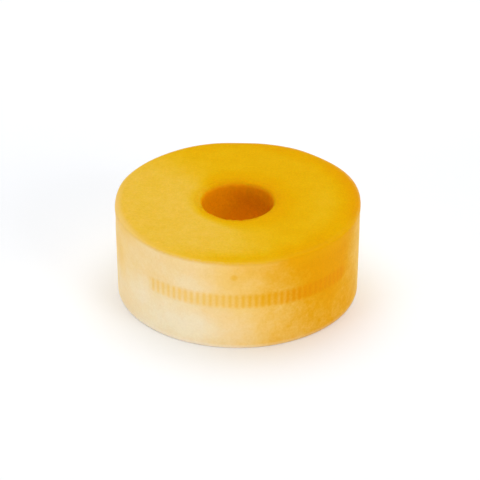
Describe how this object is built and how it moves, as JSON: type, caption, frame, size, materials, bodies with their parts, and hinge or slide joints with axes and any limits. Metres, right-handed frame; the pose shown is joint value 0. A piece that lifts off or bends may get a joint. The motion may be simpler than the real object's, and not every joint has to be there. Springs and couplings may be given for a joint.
{
  "type": "bump stop",
  "caption": "Thick cast polyurethane ring that slides on a damper rod through its plain bore and cushions the end of the stroke.",
  "frame": {"origin": "on the bore's axis, in the plane of the moulded base face", "axes": "+Z along the bore, from the base face to the trimmed upper face; the ring is round, so X and Y are free"},
  "size_m": [0.05, 0.05, 0.02],
  "materials": {
    "amber_polyurethane": "satin, slightly translucent amber with a pale bloom on the moulded side"
  },
  "bodies": {
    "root": {"bumper_ring": "amber_polyurethane"}
  },
  "joints": []
}
